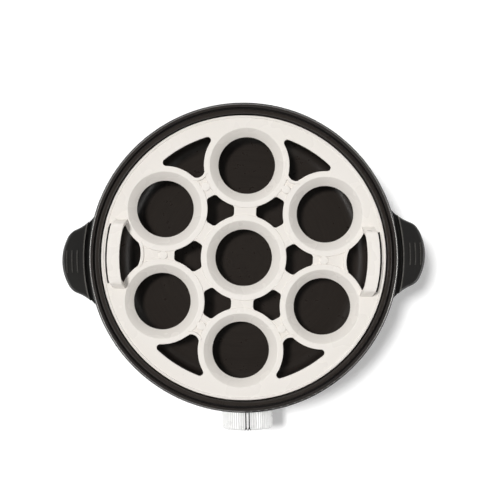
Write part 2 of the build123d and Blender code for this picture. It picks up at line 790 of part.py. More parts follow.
# Control unit: body behind the front wall, shoulder against the wall and bush through it
bush_end_radius = dial_face_radius + control_nut_height
with BuildPart() as control_shoulder:
    with BuildSketch(radial_plane(front_angle, knob_z, control_back_radius)):
        Circle(control_shoulder_radius)
    extrude(amount=shell_top_radius - control_back_radius)
    add(inner_wall, mode=Mode.INTERSECT)
with BuildPart() as control_unit:
    with BuildSketch(radial_plane(front_angle, knob_z, control_back_radius)):
        RectangleRounded(control_width, control_height, control_corner_radius)
    extrude(amount=control_face_radius - control_back_radius)
    add(control_shoulder.part)
    with BuildSketch(radial_plane(front_angle, knob_z, control_face_radius)):
        Circle(bush_radius)
    extrude(amount=bush_end_radius - control_face_radius)
    with BuildSketch(radial_plane(front_angle, knob_z, control_face_radius - shaft_bearing)):
        Circle(shaft_radius + running_gap)
    extrude(amount=bush_end_radius - control_face_radius + shaft_bearing, mode=Mode.SUBTRACT)
save(control_unit.part, "control_unit")

# Nut that clamps the control to the dial plate
with BuildPart() as control_nut:
    with BuildSketch(radial_plane(front_angle, knob_z, dial_face_radius)):
        RegularPolygon(control_nut_flats / 2, 6, major_radius=False)
        Circle(bush_radius + running_gap, mode=Mode.SUBTRACT)
    extrude(amount=control_nut_height)
save(control_nut.part, "control_nut")

# Control shaft: round in its bush, with a flat inside the knob
knob_seat_radius = knob_back_radius + knob_cavity_depth
shaft_inner_radius = control_face_radius - shaft_bearing + shaft_end_gap
shaft_outer_radius = knob_seat_radius + shaft_engagement
with BuildPart() as control_shaft:
    with BuildSketch(radial_plane(front_angle, knob_z, shaft_inner_radius)):
        Circle(shaft_radius)
    extrude(amount=shaft_outer_radius - shaft_inner_radius)
    with BuildSketch(radial_plane(front_angle, knob_z, knob_seat_radius)):
        with Locations((0, shaft_radius - shaft_flat)):
            Rectangle(2 * shaft_radius, 2 * shaft_flat, align=(Align.CENTER, Align.MIN))
    extrude(amount=shaft_engagement, mode=Mode.SUBTRACT)
save(control_shaft.part, "control_shaft")

# Control knob: fluted drum with a rounded front edge, two pointer lines and a hollow back
knob_back = radial_plane(front_angle, knob_z, knob_back_radius)
knob_front = knob_back.offset(knob_depth)
flute_start = 90 + flute_land_half_angle
flute_sweep = 360 - 2 * flute_land_half_angle
with BuildPart() as control_knob:
    with BuildSketch(knob_back):
        Circle(knob_radius)
    extrude(amount=knob_depth)
    fillet(control_knob.edges().sort_by(Axis.Y)[0], knob_edge_radius)
    with BuildSketch(knob_back):
        with PolarLocations(knob_radius, flute_count, flute_start, flute_sweep, endpoint=True):
            Circle(flute_radius)
    extrude(amount=knob_depth, mode=Mode.SUBTRACT)
    with BuildSketch(knob_back):
        Circle(knob_cavity_radius)
    extrude(amount=knob_cavity_depth, mode=Mode.SUBTRACT)
    with BuildSketch(knob_back.offset(knob_cavity_depth)):
        Circle(shaft_radius + running_gap)
        with Locations((0, shaft_radius - shaft_flat + running_gap)):
            Rectangle(
                2 * (shaft_radius + running_gap),
                2 * shaft_flat,
                align=(Align.CENTER, Align.MIN),
                mode=Mode.SUBTRACT,
            )
    extrude(amount=shaft_engagement + running_gap, mode=Mode.SUBTRACT)
    with BuildSketch(knob_front):
        with Locations((-pointer_spacing / 2, pointer_reach), (pointer_spacing / 2, pointer_reach)):
            Rectangle(pointer_width, knob_radius, align=(Align.CENTER, Align.MIN))
    extrude(amount=-pointer_depth, mode=Mode.SUBTRACT)
    with BuildSketch(knob_front):
        pointer_floor = knob_radius - pointer_depth
        with Locations((-pointer_spacing / 2, pointer_floor), (pointer_spacing / 2, pointer_floor)):
            Rectangle(pointer_width, knob_radius, align=(Align.CENTER, Align.MIN))
    extrude(amount=-knob_depth, mode=Mode.SUBTRACT)
save(control_knob.part, "control_knob")

# Dial plate: round plate whose back follows the shell
dial_radius = lamp_drop + lens_radius + dial_margin
dial_face = radial_plane(front_angle, knob_z, dial_face_radius)
with BuildPart() as dial_plate:
    with BuildSketch(dial_face):
        Circle(dial_radius)
    extrude(amount=-(dial_face_radius - sqrt(shell_bottom_radius**2 - dial_radius**2)))
    fillet(dial_plate.edges().sort_by(Axis.Y)[0], dial_edge_radius)
    with BuildSketch(dial_face):
        Circle(bush_radius + fit_gap)
        with Locations((0, -lamp_drop)):
            Circle(lens_radius + fit_gap)
    extrude(amount=-dial_face_radius, mode=Mode.SUBTRACT)
    add(outer_wall, mode=Mode.SUBTRACT)
save(dial_plate.part, "dial_plate")

# Indicator lens: domed cap with a hollow stem through the dial and the shell
lens_face = radial_plane(front_angle, lamp_z, dial_face_radius)
with BuildPart() as indicator_lens:
    with BuildSketch(lens_face.offset(lens_dome)):
        Circle(lens_radius)
    extrude(amount=-(lens_dome + lens_depth))
    fillet(indicator_lens.edges().sort_by(Axis.Y)[0], lens_dome)
    with BuildSketch(lens_face.offset(-lens_depth)):
        Circle(lens_radius - lens_wall)
    extrude(amount=lens_depth - lens_front, mode=Mode.SUBTRACT)
save(indicator_lens.part, "indicator_lens")

# Indicator lamp inside the lens
lamp_radius = lens_radius - lens_wall - fit_gap
lamp_end = lens_face.offset(-lens_front - fit_gap)
with BuildPart() as indicator_lamp:
    with BuildSketch(lamp_end):
        Circle(lamp_radius)
    extrude(amount=-lamp_length)
    fillet(indicator_lamp.edges().sort_by(Axis.Y)[0], lamp_end_radius)
save(indicator_lamp.part, "indicator_lamp")

# Side handles: rounded lugs with hollow flanks, a step beside the shell, grip ribs and a finger scoop
side_handle_top_z = shell_top_z - side_handle_drop
side_handle_z = side_handle_top_z - side_handle_height
shoulder_x = side_handle_tip - side_handle_bow
root_x = sqrt(shell_radius(handle_screw_z) ** 2 - side_handle_root_half_width**2) + side_handle_root_edge
scoop_z = side_handle_z + scoop_depth - scoop_radius
step_radius = shell_top_radius + side_handle_step_width
for handle_name, side in (("handle_right", 0), ("handle_left", 180)):
    outwards = (cos(radians(side)), sin(radians(side)), 0)
    handle_plane = Plane(origin=(0, 0, side_handle_z), x_dir=outwards, z_dir=(0, 0, 1))
    with BuildPart() as side_handle:
        with BuildSketch(handle_plane) as handle_plan:
            with BuildLine():
                lower = Line((0, -side_handle_root_half_width), (root_x, -side_handle_root_half_width))
                upper = Line((0, side_handle_root_half_width), (root_x, side_handle_root_half_width))
                lower_corner = (shoulder_x, -side_handle_half_width)
                upper_corner = (shoulder_x, side_handle_half_width)
                SagittaArc(lower @ 1, lower_corner, side_handle_flank_bow)
                SagittaArc(upper_corner, upper @ 1, side_handle_flank_bow)
                ThreePointArc(lower_corner, (side_handle_tip, 0), upper_corner)
                Line(lower @ 0, upper @ 0)
            make_face()
            for corner in (lower_corner, upper_corner):
                fillet(handle_plan.vertices().sort_by_distance(corner)[0], side_handle_corner_radius)
        extrude(amount=side_handle_height)
        rim_edges = side_handle.edges().filter_by(Plane.XY)
        outer_edges = rim_edges.filter_by(lambda edge: edge.center().dot(Vector(*outwards)) > root_x)
        fillet(outer_edges, side_handle_edge_radius)
        with BuildSketch(handle_plane.offset(side_handle_height)):
            for rib in range(grip_rib_count):
                rib_radius = side_handle_tip - grip_rib_inset - grip_rib_spacing * rib
                add(sector(rib_radius - grip_rib_width, rib_radius, 0, grip_rib_half_angle))
        extrude(amount=grip_rib_rise)
        with BuildSketch(handle_plane.offset(side_handle_height - side_handle_step_depth)):
            Circle(step_radius)
        extrude(amount=side_handle_step_depth, mode=Mode.SUBTRACT)
        with BuildSketch(radial_plane(side + 90, scoop_z).offset(-scoop_half_length)):
            with Locations((-(shell_top_radius + scoop_offset), 0)):
                Circle(scoop_radius)
        extrude(amount=2 * scoop_half_length, mode=Mode.SUBTRACT)
        for offset_angle in (-handle_screw_half_angle, handle_screw_half_angle):
            with BuildSketch(radial_plane(side + offset_angle, handle_screw_z)):
                Circle(handle_screw_radius + running_gap)
            extrude(amount=shell_radius(handle_screw_z) + handle_screw_length, mode=Mode.SUBTRACT)
        add(outer_wall, mode=Mode.SUBTRACT)
    save(side_handle.part, handle_name)

# Handle screws, driven from inside the shell
screw_seat_radius = shell_radius(handle_screw_z) - shell_wall - screw_head_gap
with BuildPart() as handle_screws:
    for screw_angle in handle_screw_angles:
        with BuildSketch(radial_plane(screw_angle, handle_screw_z, screw_seat_radius)):
            Circle(handle_screw_head_radius)
        extrude(amount=-handle_screw_head_height)
        with BuildSketch(radial_plane(screw_angle, handle_screw_z, screw_seat_radius)):
            Circle(handle_screw_radius)
        extrude(amount=handle_screw_length)
save(handle_screws.part, "handle_screws")

# Cord gland through the rear wall, and its nut inside
gland_face_radius = shell_radius(gland_z) + gland_flange_thickness
gland_face = radial_plane(rear_angle, gland_z, gland_face_radius)
with BuildPart() as cord_gland:
    with BuildSketch(gland_face):
        Circle(gland_flange_radius)
    extrude(amount=-gland_length)
    fillet(cord_gland.edges().sort_by(Axis.Y)[-1], gland_edge_radius)
    add(outer_wall, mode=Mode.SUBTRACT)
    with BuildSketch(gland_face.offset(-gland_flange_thickness / 2)):
        Circle(gland_body_radius)
    extrude(amount=gland_flange_thickness / 2 - gland_length)
    with BuildSketch(gland_face):
        Circle(gland_bore_radius)
    extrude(amount=-gland_length, mode=Mode.SUBTRACT)
save(cord_gland.part, "cord_gland")
gland_nut_radial = shell_radius(gland_z) - shell_wall - gland_nut_thickness
with BuildPart() as gland_nut:
    with BuildSketch(radial_plane(rear_angle, gland_z, gland_nut_radial)):
        RegularPolygon(gland_nut_radius, 8)
        Circle(gland_body_radius + running_gap, mode=Mode.SUBTRACT)
    extrude(amount=2 * gland_nut_thickness)
    add(inner_wall, mode=Mode.INTERSECT)
save(gland_nut.part, "gland_nut")

# Terminal block on the base, with a clamp screw for each pole
block_top_z = base_floor_z + block_height
pole_xs = [(pole - (pole_count - 1) / 2) * pole_spacing for pole in range(pole_count)]
pole_places = [(pole_x, block_y - pole_setback) for pole_x in pole_xs]
with BuildPart() as terminal_block:
    with BuildSketch(Plane.XY.offset(base_floor_z)):
        with Locations((0, block_y)):
            Rectangle(block_width, block_length)
    extrude(amount=block_height)
    with BuildSketch(Plane.XY.offset(block_top_z)):
        with Locations(*pole_places):
            Circle(pole_well_radius)
    extrude(amount=-pole_well_depth, mode=Mode.SUBTRACT)
save(terminal_block.part, "terminal_block")
with BuildPart() as terminal_screws:
    with BuildSketch(Plane.XY.offset(block_top_z - pole_well_depth)):
        with Locations(*pole_places):
            Circle(pole_screw_radius)
    extrude(amount=pole_screw_height)
save(terminal_screws.part, "terminal_screws")

# Internal leads, each along straight runs and round bends between two terminals
lead_y = block_y + pole_setback
control_rear_y = -control_back_radius
control_bottom_z = knob_z - control_height / 2
blade_end_y = -(thermostat_radius + blade_length)
tab_end_radius = element_circle_radius - element_tab_length
tab_run_radius = tab_end_radius - lead_short_run
tab_angle = radians(element_ends[0])
pin_angle = radians(element_ends[1])
pin_x = element_circle_radius * cos(pin_angle)
pin_y = element_circle_radius * sin(pin_angle)
pin_bottom_z = element_bottom_z - element_pin_length
lamp_rear_y = -(dial_face_radius - lens_front - fit_gap - lamp_length)
lead_routes = {
    "lead_live": [
        (pole_xs[1], lead_y, block_top_z),
        (pole_xs[1], lead_y, knob_z - lead_offset),
        (pole_xs[1], control_rear_y, knob_z - lead_offset),
    ],
    "lead_switched": [
        (-blade_offset, control_rear_y, knob_z + lead_offset),
        (-blade_offset, control_rear_y + lead_run, knob_z + lead_offset),
        (-blade_offset, blade_end_y - lead_run, blade_z),
        (-blade_offset, blade_end_y, blade_z),
    ],
    "lead_fuse": [
        (blade_offset, blade_end_y, blade_z),
        (blade_offset, blade_end_y - lead_short_run, blade_z),
        (fuse_x, blade_end_y - lead_short_run, fuse_z),
        (fuse_x, -fuse_length / 2, fuse_z),
    ],
    "lead_heater": [
        (fuse_x, fuse_length / 2, fuse_z),
        (fuse_x, fuse_length / 2 + lead_short_run, fuse_z),
        (tab_run_radius * cos(tab_angle), tab_run_radius * sin(tab_angle), tab_centre_z),
        (tab_end_radius * cos(tab_angle), tab_end_radius * sin(tab_angle), tab_centre_z),
    ],
    "lead_neutral": [
        (pole_xs[2], lead_y, block_top_z),
        (pole_xs[2], lead_y, block_top_z + lead_rise),
        (pin_x, pin_y, pin_bottom_z - lead_short_run),
        (pin_x, pin_y, pin_bottom_z),
    ],
    "lead_earth": [
        (pole_xs[0], lead_y, block_top_z),
        (pole_xs[0], lead_y, block_top_z + lead_rise),
        (earth_x, earth_y, chassis_z - lead_short_run),
        (earth_x, earth_y, chassis_z),
    ],
    "lead_lamp": [
        (0, lamp_rear_y, lamp_z),
        (0, lamp_rear_y + lead_short_run, lamp_z),
        (0, lamp_rear_y + lead_short_run, control_bottom_z),
    ],
}
for lead_name, route in lead_routes.items():
    with BuildPart() as lead:
        with BuildLine() as lead_path:
            FilletPolyline(*route, radius=lead_bend)
        with BuildSketch(Plane(lead_path.line @ 0, z_dir=lead_path.line % 0)):
            Circle(lead_radius)
        sweep()
    save(lead.part, lead_name)
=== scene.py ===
import json
from math import cos, pi, radians, sin

import bmesh
import bpy
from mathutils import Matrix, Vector
from mathutils.kdtree import KDTree


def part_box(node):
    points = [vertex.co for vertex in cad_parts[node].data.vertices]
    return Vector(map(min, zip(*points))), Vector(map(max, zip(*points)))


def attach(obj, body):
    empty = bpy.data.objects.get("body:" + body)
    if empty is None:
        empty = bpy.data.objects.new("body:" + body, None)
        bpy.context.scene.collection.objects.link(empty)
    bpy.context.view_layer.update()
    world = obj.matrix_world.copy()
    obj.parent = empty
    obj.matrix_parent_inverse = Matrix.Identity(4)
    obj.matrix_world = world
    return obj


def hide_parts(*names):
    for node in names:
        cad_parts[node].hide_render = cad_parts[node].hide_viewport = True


# An egg cooker seen from straight above, in metres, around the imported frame.
# The body's axis is Z, the knob faces -Y and the side handles point along X.

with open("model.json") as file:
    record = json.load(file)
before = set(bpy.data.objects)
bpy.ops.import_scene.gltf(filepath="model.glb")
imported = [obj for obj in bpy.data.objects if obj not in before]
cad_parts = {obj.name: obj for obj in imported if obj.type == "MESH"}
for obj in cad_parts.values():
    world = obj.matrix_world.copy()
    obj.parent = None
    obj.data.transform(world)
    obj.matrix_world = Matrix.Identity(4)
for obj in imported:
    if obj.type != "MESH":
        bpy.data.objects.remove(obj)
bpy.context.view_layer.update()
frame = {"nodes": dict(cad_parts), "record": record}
nodes = frame["nodes"]

# Camera, above the cooker and turned by the small angle at which the body stands
camera_place = (0.00325, 0.00375, 0.7815)
camera_turn = -1.3  # degrees
camera_angle = 19.98  # degrees across the picture

# Studio
wall_light = 1.0
overhead_light = 0.1  # the ceiling is darker than the walls
wall_top = 0.2  # heights of direction between which the walls fade into the ceiling
ceiling_edge = 0.75
key_azimuth = 151  # degrees, the side that the key light comes from
key_slope = 0.215  # sideways run of the key light for each metre of fall
key_softness = 7.0  # degrees
key_strength = 2.45
gleam_azimuths = (192, 342)  # degrees, sides of the two panels that show only as gleams
gleam_lean = 50  # degrees from straight up
gleam_distance = 1.2
gleam_width = 1.1
gleam_height = 0.35
gleam_power = 6.5
floor_size = 6.0
floor_lift = 0.2  # light that the floor adds where it is seen, so that it reads as white

# Rounding of moulded edges
weld_distance = 1e-6
flat_angle = radians(0.4)  # triangles that meet at less are joined
sharp_angle = radians(28)  # edges that are sharper get rounded
tight_angle = radians(50)  # edges that meet at less stay sharp
blend_angle = radians(60)  # the rounding takes over the shading of faces within this angle
beside_share = 0.5  # share of a distance that lies across an edge for its end to count as beside the edge
rounding_segments = 2
tray_edge = 0.00032
handle_edge = 0.00022
rim_edge = 0.00025

# Inner edge, recess and ribs of the side handles' grips, which carry a painted highlight and painted shade
grip_start = 0.07  # from the middle, along X
grip_edge_radius = 0.0799
grip_edge_width = 0.0006
recess_painted_shade = 0.6
rib_first_radius = 0.0886
rib_spacing = 0.0026
rib_width = 0.0006
rib_count = 3
rib_half_length = 0.0056
rib_highlight_share = 0.5  # the ribs' painted highlight as a share of the inner edge's

# Painted dark reflection along the outer edge of the shell's rounded shoulder, measured down from the
# shell's top
dark_reflection_start = 0.00028
dark_reflection_end = 0.0016
dark_reflection_fade = 0.0001

# Buttons in the middle of the tray's bridges
tray_turn = -3.2  # degrees
button_count = 6
button_circle_radius = 0.03984
button_radius = 0.0022
button_edge = 0.0006
button_base_z = 0.0780
button_top_z = 0.0793
button_dome = 0.00025
button_sides = 28
button_edge_steps = 4

# Knob and its dial
knob_axis_z = 0.038
knob_radius = 0.0132
knob_front_y = -0.0892
flute_depth = 0.00034
# strength of the painted shade at the bottom of the flutes
flute_shade = 0.35
pointer_spacing = 0.0017
pointer_width = 0.0006
pointer_margin = 1e-6  # paint past the grooves' walls
pointer_flare = 0.00045  # the paint spreads where the grooves run over the knob's front edge
pointer_flare_length = 0.0018
flare_radius = 0.0121
dial_face_y = -0.07793
tick_steps = 18
tick_sweep = 270.0  # degrees
tick_outer_radius = 0.0171
tick_length = 0.0016
tick_long = 0.0026
tick_long_every = 3  # steps from one long mark to the next
tick_width = 0.00045
tick_height = 0.00008
tick_slope = 0.00006

# Ranges of a noise pattern that are spread over a mix or a gloss, and the whole of a mix
noise_range = (0.3, 0.7)
noise_core = (0.35, 0.65)
whole = (0, 1)


def rgb(red, green, blue):
    """Linear colour of display values from 0 to 255."""
    values = []
    for value in (red / 255, green / 255, blue / 255):
        values.append(value / 12.92 if value <= 0.04045 else ((value + 0.055) / 1.055) ** 2.4)
    return (*values, 1.0)


class Surface:
    """A material under construction, with its pattern placed by the object's own coordinates."""

    def __init__(self, name, roughness, metallic=0.0, shine=0.5):
        self.material = bpy.data.materials.new(name)
        self.material.use_nodes = True
        self.tree = self.material.node_tree
        self.shader = self.tree.nodes["Principled BSDF"]
        self.shader.inputs["Roughness"].default_value = roughness
        self.shader.inputs["Metallic"].default_value = metallic
        self.shader.inputs["Specular IOR Level"].default_value = shine
        self.place = self.node("ShaderNodeTexCoord").outputs["Object"]
        self.normal = None

    def node(self, kind, **settings):
        node = self.tree.nodes.new(kind)
        for name, value in settings.items():
            setattr(node, name, value)
        return node

    def feed(self, socket, value):
        if isinstance(value, bpy.types.NodeSocket):
            self.tree.links.new(value, socket)
        else:
            socket.default_value = value

    def math(self, operation, *values):
        node = self.node("ShaderNodeMath", operation=operation)
        for socket, value in zip(node.inputs, values):
            self.feed(socket, value)
        return node.outputs[0]

    def product(self, first, *others):
        for other in others:
            first = self.math("MULTIPLY", first, other)
        return first

    def noise(self, scale, detail=3.0, roughness=0.55, place=None):
        node = self.node("ShaderNodeTexNoise")
        node.inputs["Scale"].default_value = scale
        node.inputs["Detail"].default_value = detail
        node.inputs["Roughness"].default_value = roughness
        self.feed(node.inputs["Vector"], place or self.place)
        return node.outputs["Fac"]

    def cells(self, scale):
        node = self.node("ShaderNodeTexVoronoi")
        node.inputs["Scale"].default_value = scale
        self.feed(node.inputs["Vector"], self.place)
        return node.outputs["Distance"]

    def spread(self, value, source, target):
        """Value from the source range, spread over the target range."""
        node = self.node("ShaderNodeMapRange")
        ends = ("From Min", "From Max", "To Min", "To Max")
        for name, number in zip(ends, (*source, *target)):
            node.inputs[name].default_value = number
        self.feed(node.inputs["Value"], value)
        return node.outputs["Result"]

    def mix(self, factor, first, second):
        node = self.node("ShaderNodeMix", data_type="RGBA")
        self.feed(node.inputs["Factor"], factor)
        self.feed(node.inputs["A"], first)
        self.feed(node.inputs["B"], second)
        return node.outputs["Result"]

    def axes(self):
        """Places along X, Y and Z."""
        split = self.node("ShaderNodeSeparateXYZ")
        self.feed(split.inputs[0], self.place)
        return split.outputs

    def stretched(self, x, y, z):
        """Coordinates with a scale of their own on each axis."""
        node = self.node("ShaderNodeVectorMath", operation="MULTIPLY")
        self.feed(node.inputs[0], self.place)
        node.inputs[1].default_value = (x, y, z)
        return node.outputs[0]

    def reach(self):
        """Distance from the body's axis."""
        flat = self.node("ShaderNodeVectorMath", operation="LENGTH")
        self.feed(flat.inputs[0], self.stretched(1, 1, 0))
        return flat.outputs["Value"]

    def around(self, across, along):
        """Coordinates for a pattern that runs round the body's axis: fine across, slow along."""
        x, y, z = self.axes()
        reach = self.reach()
        joined = self.node("ShaderNodeCombineXYZ")
        self.feed(joined.inputs[0], self.product(self.math("DIVIDE", x, reach), along))
        self.feed(joined.inputs[1], self.product(self.math("DIVIDE", y, reach), along))
        self.feed(joined.inputs[2], self.product(self.math("ADD", reach, z), across))
        return joined.outputs[0]

    def colour(self, value):
        self.feed(self.shader.inputs["Base Color"], value)

    def rough(self, value):
        self.feed(self.shader.inputs["Roughness"], value)

    def bump(self, height, depth):
        """Relief of a height from 0 to 1, as deep as depth in metres, on top of any earlier relief."""
        node = self.node("ShaderNodeBump")
        node.inputs["Distance"].default_value = depth
        self.feed(node.inputs["Height"], height)
        if self.normal:
            self.feed(node.inputs["Normal"], self.normal)
        self.normal = node.outputs["Normal"]
        self.feed(self.shader.inputs["Normal"], self.normal)


def moulded(name, shade, deep, gloss, grain, depth, shine=0.5, unevenness=0.04):
    """Moulded plastic or rubber: two close shades, spark-eroded grain and uneven gloss."""
    surface = Surface(name, roughness=gloss, shine=shine)
    drift = surface.noise(scale=45, detail=4)
    fine = surface.noise(scale=grain, roughness=0.6)
    surface.colour(surface.mix(surface.spread(drift, noise_core, whole), shade, deep))
    surface.rough(surface.spread(fine, noise_range, (gloss - unevenness, gloss + unevenness)))
    surface.bump(fine, depth)
    return surface


def plated(name, shade, deep, gloss, grain, depth):
    """Plain metal with a slightly mottled skin."""
    surface = Surface(name, roughness=gloss, metallic=1.0)
    mottle = surface.noise(scale=grain, detail=4, roughness=0.6)
    haze = surface.noise(scale=grain * 3)
    surface.colour(surface.mix(surface.spread(mottle, noise_core, whole), shade, deep))
    surface.rough(surface.spread(haze, noise_range, (gloss * 0.8, gloss * 1.3)))
    surface.bump(mottle, depth)
    return surface


# Base, handles and dial: black plastic, with painted shade in the grips' recess and a painted highlight on
# their inner edge and ribs
def black_plastic():
    surface = moulded(
        "black_plastic", shade=rgb(36, 35, 33), deep=rgb(30, 29, 28), gloss=0.38, grain=1500, depth=0.00002
    )
    plain = surface.shader.inputs["Base Color"].links[0].from_socket
    x, y, _ = surface.axes()
    reach = surface.reach()
    at_side = surface.math("GREATER_THAN", surface.math("ABSOLUTE", x), grip_start)
    past_edge = surface.math("SUBTRACT", reach, grip_edge_radius)
    recess = surface.math("LESS_THAN", past_edge, 0)
    # painted shade in the recess between the grip and the shell
    plain = surface.mix(surface.product(recess, at_side, recess_painted_shade), plain, rgb(8, 8, 7))

    # painted highlight along the grip's inner edge and on its ribs, broken into patches
    off_edge = surface.math("ABSOLUTE", surface.math("SUBTRACT", past_edge, grip_edge_width / 2))
    edge = surface.math("LESS_THAN", off_edge, grip_edge_width / 2)
    step = surface.math("DIVIDE", surface.math("SUBTRACT", rib_first_radius, reach), rib_spacing)
    off_rib = surface.math("ABSOLUTE", surface.math("SUBTRACT", step, surface.math("ROUND", step)))
    rib = surface.product(
        surface.math("LESS_THAN", off_rib, rib_width / 2 / rib_spacing),
        surface.math("LESS_THAN", step, rib_count - 0.5),
        surface.math("LESS_THAN", surface.math("ABSOLUTE", y), rib_half_length),
        rib_highlight_share,
    )
    patches = surface.spread(surface.noise(scale=900), (0.3, 0.6), (0.4, 1))
    painted_highlight = surface.product(surface.math("MAXIMUM", edge, rib), patches, at_side)
    surface.colour(surface.mix(painted_highlight, plain, rgb(94, 92, 88)))
    return surface


# Tray: glossy warm-white plastic with faint flow marks, few specks and orange peel
def white_plastic():
    surface = Surface("white_plastic", roughness=0.26)
    flow = surface.noise(scale=28, detail=5, roughness=0.6, place=surface.stretched(1, 1, 0.4))
    haze = surface.noise(scale=60, detail=2)
    peel = surface.noise(scale=700, detail=2)
    specks = surface.spread(surface.cells(scale=420), (0.03, 0.07), (0.02, 0))
    tint = surface.mix(surface.spread(flow, noise_core, whole), rgb(236, 231, 225), rgb(235, 230, 223))
    surface.colour(surface.mix(specks, tint, rgb(206, 199, 187)))
    surface.rough(surface.spread(haze, noise_range, (0.25, 0.3)))
    surface.bump(peel, depth=0.000002)
    return surface


# Bowl: dark non-stick coating with spun lines and fine speckle
def bowl_coating():
    surface = Surface("bowl_coating", roughness=0.34, shine=0.35)
    lines = surface.noise(scale=1.0, roughness=0.6, place=surface.around(across=2600, along=2.5))
    haze = surface.noise(scale=300, detail=4)
    speckle = surface.spread(surface.noise(scale=2400, detail=2), (0.62, 0.72), whole)
    tint = surface.mix(surface.spread(lines, noise_range, whole), rgb(40, 35, 32), rgb(47, 42, 38))
    surface.colour(surface.mix(surface.product(speckle, 0.15), tint, rgb(66, 60, 55)))
    surface.rough(surface.spread(haze, noise_range, (0.26, 0.42)))
    surface.bump(lines, depth=0.00001)
    surface.bump(speckle, depth=0.000004)
    return surface


# Shell: stainless steel brushed round the body, with a painted dark reflection along the outer edge of its
# shoulder
def steel():
    surface = Surface("steel", roughness=0.24, metallic=1.0)
    surface.shader.inputs["Anisotropic"].default_value = 0.4
    around = surface.around(across=9000, along=3)
    lines = surface.noise(scale=1.0, detail=4, roughness=0.65, place=around)
    smear = surface.noise(scale=60, detail=5, roughness=0.6, place=surface.stretched(1, 1, 0.5))
    brushed = surface.mix(surface.spread(lines, noise_range, whole), rgb(170, 168, 165), rgb(138, 136, 134))
    # painted dark reflection on the outer part of the shoulder, between two depths below the shell's top
    _, highest_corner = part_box("body_shell")
    below = surface.math("SUBTRACT", highest_corner[2], surface.axes()["Z"])
    starts = surface.spread(below, (dark_reflection_start, dark_reflection_start + dark_reflection_fade), whole)
    ends = surface.spread(below, (dark_reflection_end, dark_reflection_end + dark_reflection_fade), (1, 0))
    surface.colour(surface.mix(surface.product(starts, ends), brushed, rgb(30, 29, 28)))
    surface.rough(surface.spread(smear, noise_range, (0.17, 0.3)))
    surface.bump(lines, depth=0.000006)
    return surface


# Knob: satin silver with fine turned lines, painted shade in its flutes and dark paint in its pointer
# grooves
def silver_plastic():
    surface = Surface("silver_plastic", roughness=0.3, metallic=0.1)
    fine = surface.noise(scale=1.0, roughness=0.6, place=surface.stretched(300, 5200, 300))
    haze = surface.noise(scale=220, detail=4)
    silver = surface.mix(surface.spread(fine, noise_range, whole), rgb(250, 250, 249), rgb(246, 246, 244))
    x, y, z = surface.axes()
    # painted shade at the bottom of the flutes, on the drum only
    up = surface.math("SUBTRACT", z, knob_axis_z)
    reach = surface.math("SQRT", surface.math("ADD", surface.product(x, x), surface.product(up, up)))
    flute_painted_shade = surface.spread(reach, (knob_radius - flute_depth, knob_radius), (flute_shade, 0))
    on_drum = surface.math("GREATER_THAN", reach, knob_radius - 2 * flute_depth)
    silver = surface.mix(surface.product(flute_painted_shade, on_drum), silver, rgb(120, 119, 118))

    aside = surface.math("ABSOLUTE", x)
    off_line = surface.math("ABSOLUTE", surface.math("SUBTRACT", aside, pointer_spacing / 2))
    flare = surface.spread(y, (knob_front_y + pointer_flare_length, knob_front_y), (0, pointer_flare))
    flare = surface.product(flare, surface.math("GREATER_THAN", reach, flare_radius))
    half_width = surface.math("ADD", flare, pointer_width / 2 + pointer_margin)
    in_groove = surface.math("LESS_THAN", off_line, half_width)
    on_top = surface.math("GREATER_THAN", up, 0)
    surface.colour(surface.mix(surface.product(in_groove, on_top), silver, rgb(26, 25, 24)))
    surface.rough(surface.spread(haze, noise_range, (0.24, 0.38)))
    surface.bump(fine, depth=0.000006)
    return surface


# Lens of the lamp: red, slightly foggy and pebbled
def red_lens():
    surface = Surface("red_lens", roughness=0.08)
    surface.shader.inputs["Transmission Weight"].default_value = 0.35
    fog = surface.noise(scale=500)
    surface.colour(surface.mix(surface.spread(fog, noise_range, whole), rgb(176, 18, 14), rgb(132, 8, 8)))
    surface.rough(surface.spread(fog, noise_range, (0.06, 0.14)))
    surface.bump(surface.cells(scale=1800), depth=0.00003)
    return surface


# Lamp behind the lens: smooth warm glass
def lamp_glass():
    surface = Surface("lamp_glass", roughness=0.05)
    surface.shader.inputs["Transmission Weight"].default_value = 0.5
    glow = surface.noise(scale=400, detail=2)
    warm = surface.mix(surface.spread(glow, noise_range, whole), rgb(240, 214, 190), rgb(226, 176, 140))
    surface.colour(warm)
    surface.rough(surface.spread(glow, noise_range, (0.04, 0.1)))
    return surface


# Plain finishes by slot: shade, deeper shade, gloss, scale of the grain, depth of the grain
plain_mouldings = {
    "foot_rubber": (rgb(38, 37, 37), rgb(30, 29, 29), 0.78, 1200, 0.00004),
    "seal_rubber": (rgb(18, 14, 12), rgb(13, 10, 9), 0.62, 1600, 0.00003),
    "ceramic": (rgb(222, 212, 196), rgb(206, 194, 176), 0.55, 800, 0.00003),
    "control_plastic": (rgb(62, 52, 46), rgb(52, 43, 38), 0.5, 900, 0.00003),
    "block_plastic": (rgb(216, 212, 200), rgb(204, 199, 186), 0.48, 900, 0.00003),
    "brown_lead": (rgb(96, 58, 34), rgb(82, 48, 28), 0.42, 900, 0.00002),
    "blue_lead": (rgb(44, 84, 148), rgb(36, 70, 128), 0.42, 900, 0.00002),
    "earth_lead": (rgb(108, 142, 44), rgb(168, 164, 50), 0.42, 900, 0.00002),
    "white_lead": (rgb(220, 216, 206), rgb(204, 198, 186), 0.42, 900, 0.00002),
}
plain_metals = {
    "zinc_steel": (rgb(196, 196, 190), rgb(170, 170, 160), 0.34, 700, 0.00001),
    "element_aluminium": (rgb(176, 174, 170), rgb(150, 147, 142), 0.5, 500, 0.00003),
    "brass": (rgb(202, 168, 104), rgb(176, 142, 82), 0.32, 600, 0.00001),
}
